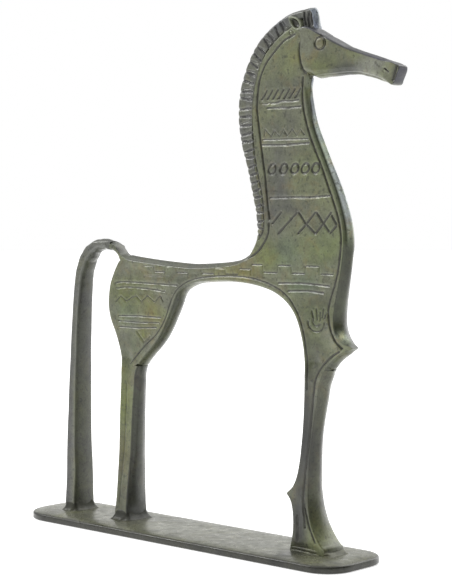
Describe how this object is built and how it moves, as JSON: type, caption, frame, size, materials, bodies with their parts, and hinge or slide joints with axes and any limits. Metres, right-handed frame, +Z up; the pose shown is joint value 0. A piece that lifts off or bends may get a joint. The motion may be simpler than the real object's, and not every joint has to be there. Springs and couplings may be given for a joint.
{
  "type": "horse statuette",
  "caption": "Slender stylised horse standing on a flat rounded base, cut like a thin upright plate, with an arched tail that reaches the base and engraved bands on neck and haunch.",
  "frame": {"origin": "centre of the base's underside", "axes": "+Z up, +X along the horse towards its muzzle, +Y to the horse's left side"},
  "size_m": [0.2398, 0.0458, 0.2608],
  "materials": {
    "green_patina": "olive green patina on cast bronze, satin",
    "dark_patina": "dark grey-green patina on cast bronze, satin",
    "base_patina": "pale grey-green patina on cast bronze, waxed satin",
    "braze_patina": "brown-green patina on brazing, satin"
  },
  "bodies": {
    "root": {"base_plate": "base_patina", "body_plate": "green_patina", "hind_leg": "green_patina", "foreleg": "green_patina", "head": "green_patina", "ear_right": "green_patina", "ear_left": "green_patina", "eye_right": "green_patina", "eye_left": "green_patina", "tail": "dark_patina", "mane": "dark_patina", "forelock": "dark_patina", "hind_foot_fillet": "braze_patina", "fore_foot_fillet": "braze_patina", "tail_foot_fillet": "braze_patina"}
  },
  "joints": []
}
